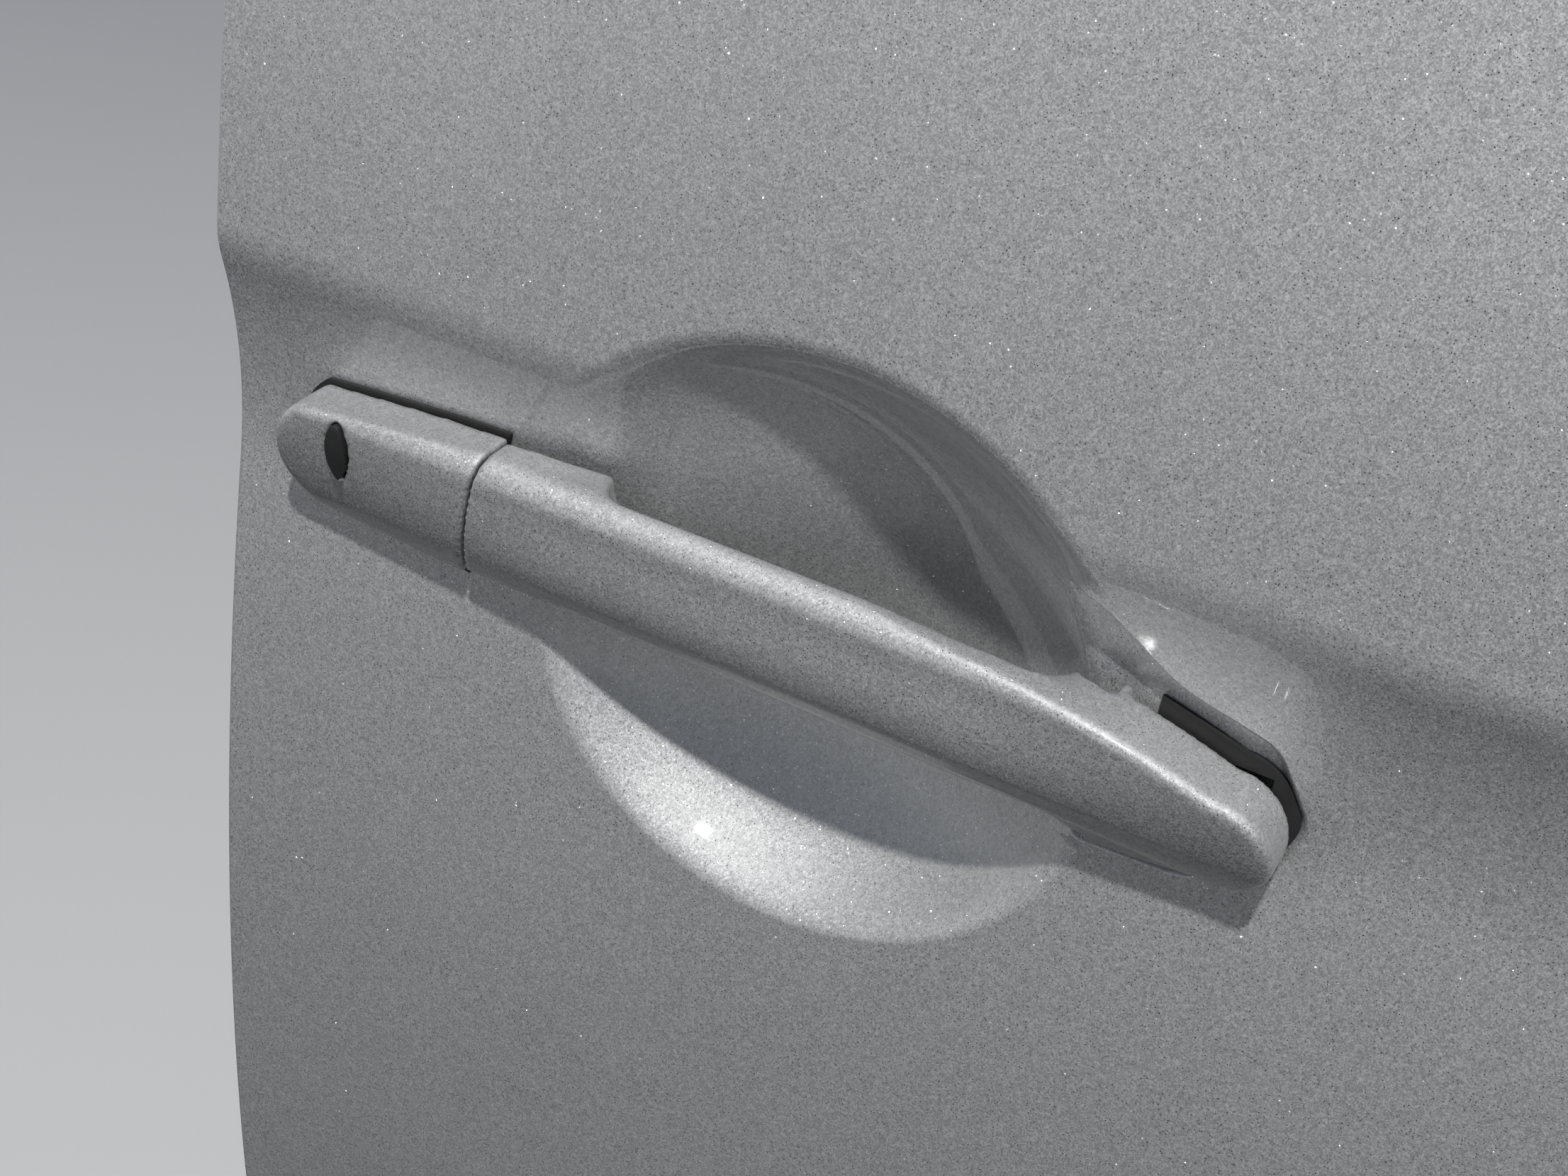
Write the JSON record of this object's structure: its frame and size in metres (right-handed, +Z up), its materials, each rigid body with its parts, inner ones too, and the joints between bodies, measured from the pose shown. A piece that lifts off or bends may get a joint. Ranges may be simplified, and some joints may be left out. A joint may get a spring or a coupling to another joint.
{
  "type": "right front door of a compact crossover",
  "caption": "Vehicle side door with outside pull handle in a round bowl, framed window, hinges, latch and inner trim.",
  "frame": {"origin": "middle of the upper hinge's two bolt holes, on the face that seats on the body pillar", "axes": "+X to the front of the vehicle, +Y inboard, +Z up"},
  "size_m": [1.129, 0.2182, 1.0943],
  "materials": {
    "silver_paint": "clear-coated metallic paint with fine flake",
    "silver_paint_inner": "the same paint, thinner and duller, on inner pressings",
    "glass": "clear toughened glass with a faint green tint",
    "rubber": "matt black rubber",
    "gloss_black": "gloss black",
    "black_plastic": "fine-grained matt black",
    "painted_steel": "body-coloured paint over forged steel",
    "zinc_steel": "zinc-plated steel",
    "latch_steel": "plated steel and black plastic",
    "black_rubber_button": "satin black soft-touch button",
    "trim_plastic": "grained charcoal plastic",
    "trim_plastic_upper": "soft-touch grained plastic",
    "trim_fabric": "woven dark grey fabric",
    "armrest_skin": "grained vinyl",
    "satin_metal": "satin chrome"
  },
  "bodies": {
    "hinge_leaves": {"upper_hinge_body_leaf": "painted_steel", "lower_hinge_body_leaf": "painted_steel"},
    "door": {"outer_skin": "silver_paint", "inner_panel": "silver_paint_inner", "window_frame": "silver_paint_inner", "window_glass": "glass", "glass_run": "rubber", "outer_belt_seal": "rubber", "inner_belt_seal": "rubber", "pillar_cover": "gloss_black", "sail_cover": "black_plastic", "door_seal": "rubber", "upper_hinge_door_leaf": "painted_steel", "lower_hinge_door_leaf": "painted_steel", "check_arm": "zinc_steel", "latch": "latch_steel", "handle_bracket": "black_plastic", "handle_cap": "silver_paint", "request_button": "black_rubber_button", "cap_gasket": "rubber", "grip_gasket": "rubber", "trim_panel": "trim_plastic", "trim_shoulder": "trim_plastic_upper", "trim_insert": "trim_fabric", "armrest": "armrest_skin", "switch_panel": "gloss_black", "inner_handle_bezel": "black_plastic", "inner_handle": "satin_metal", "speaker_grille": "trim_plastic", "map_pocket": "trim_plastic"},
    "grip": {"handle_grip": "silver_paint"}
  },
  "joints": [
    {"name": "door_swing", "type": "hinge", "parent": "hinge_leaves", "child": "door", "pos_m": [-0.042, -0.014, -0.18], "axis": [0, 0, 1], "range_deg": [0, 68]},
    {"name": "grip_pull", "type": "hinge", "parent": "door", "child": "grip", "pos_m": [-0.836, -0.0865, -0.02], "axis": [0, 0, 1], "range_deg": [0, 12], "stiffness_Nm_per_rad": 6, "springref_deg": -5.73}
  ]
}
